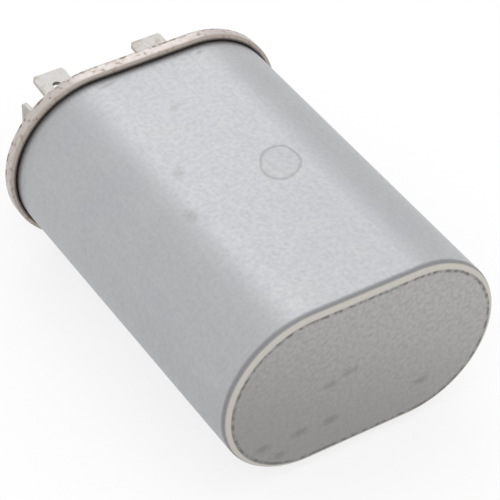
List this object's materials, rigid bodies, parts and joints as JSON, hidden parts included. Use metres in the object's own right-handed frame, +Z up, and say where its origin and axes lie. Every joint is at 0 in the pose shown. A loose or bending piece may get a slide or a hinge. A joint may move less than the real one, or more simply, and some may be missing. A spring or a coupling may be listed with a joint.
{
  "type": "motor run capacitor",
  "caption": "Flat-oval metal can with a rolled seam at one end and quick-connect blade terminals beyond it, lying on a flat side.",
  "frame": {"origin": "the middle of the footprint, at the height of the seam's lowest line, on the surface that the capacitor lies on", "axes": "X along the oval, +Y from the can's base to the terminals, +Z up, square to the flat side that it lies on"},
  "size_m": [0.055, 0.0883, 0.035],
  "materials": {
    "can_aluminium": "satin drawn aluminium, with stains and light scuffs",
    "cover_tinplate": "dull tinplate, stained along the seam",
    "seam_compound": "dark sealing compound",
    "tinned_blades": "tin plating over brass, dulled, with rusty detent holes",
    "bushing_moulding": "dark brown phenolic moulding",
    "seal_rubber": "black rubber",
    "washer_moulding": "buff moulded insulator",
    "rivet_steel": "tinned steel",
    "lug_brass": "plain brass",
    "lead_strip": "tinned copper strip",
    "winding_film": "wound metallised film",
    "end_spray": "sprayed zinc, rough",
    "insulating_wrap": "milky plastic",
    "pressboard": "hard pressed board"
  },
  "bodies": {
    "root": {"can": "can_aluminium", "cover": "cover_tinplate", "seam_compound": "seam_compound", "left_blades": "tinned_blades", "right_blades": "tinned_blades", "left_bushing": "bushing_moulding", "right_bushing": "bushing_moulding", "left_seal": "seal_rubber", "right_seal": "seal_rubber", "left_washer": "washer_moulding", "right_washer": "washer_moulding", "rivets": "rivet_steel", "left_lug": "lug_brass", "right_lug": "lug_brass", "left_lead": "lead_strip", "right_lead": "lead_strip", "winding": "winding_film", "base_spray": "end_spray", "top_spray": "end_spray", "sleeve": "insulating_wrap", "base_tray": "insulating_wrap", "top_plate": "pressboard"}
  },
  "joints": []
}
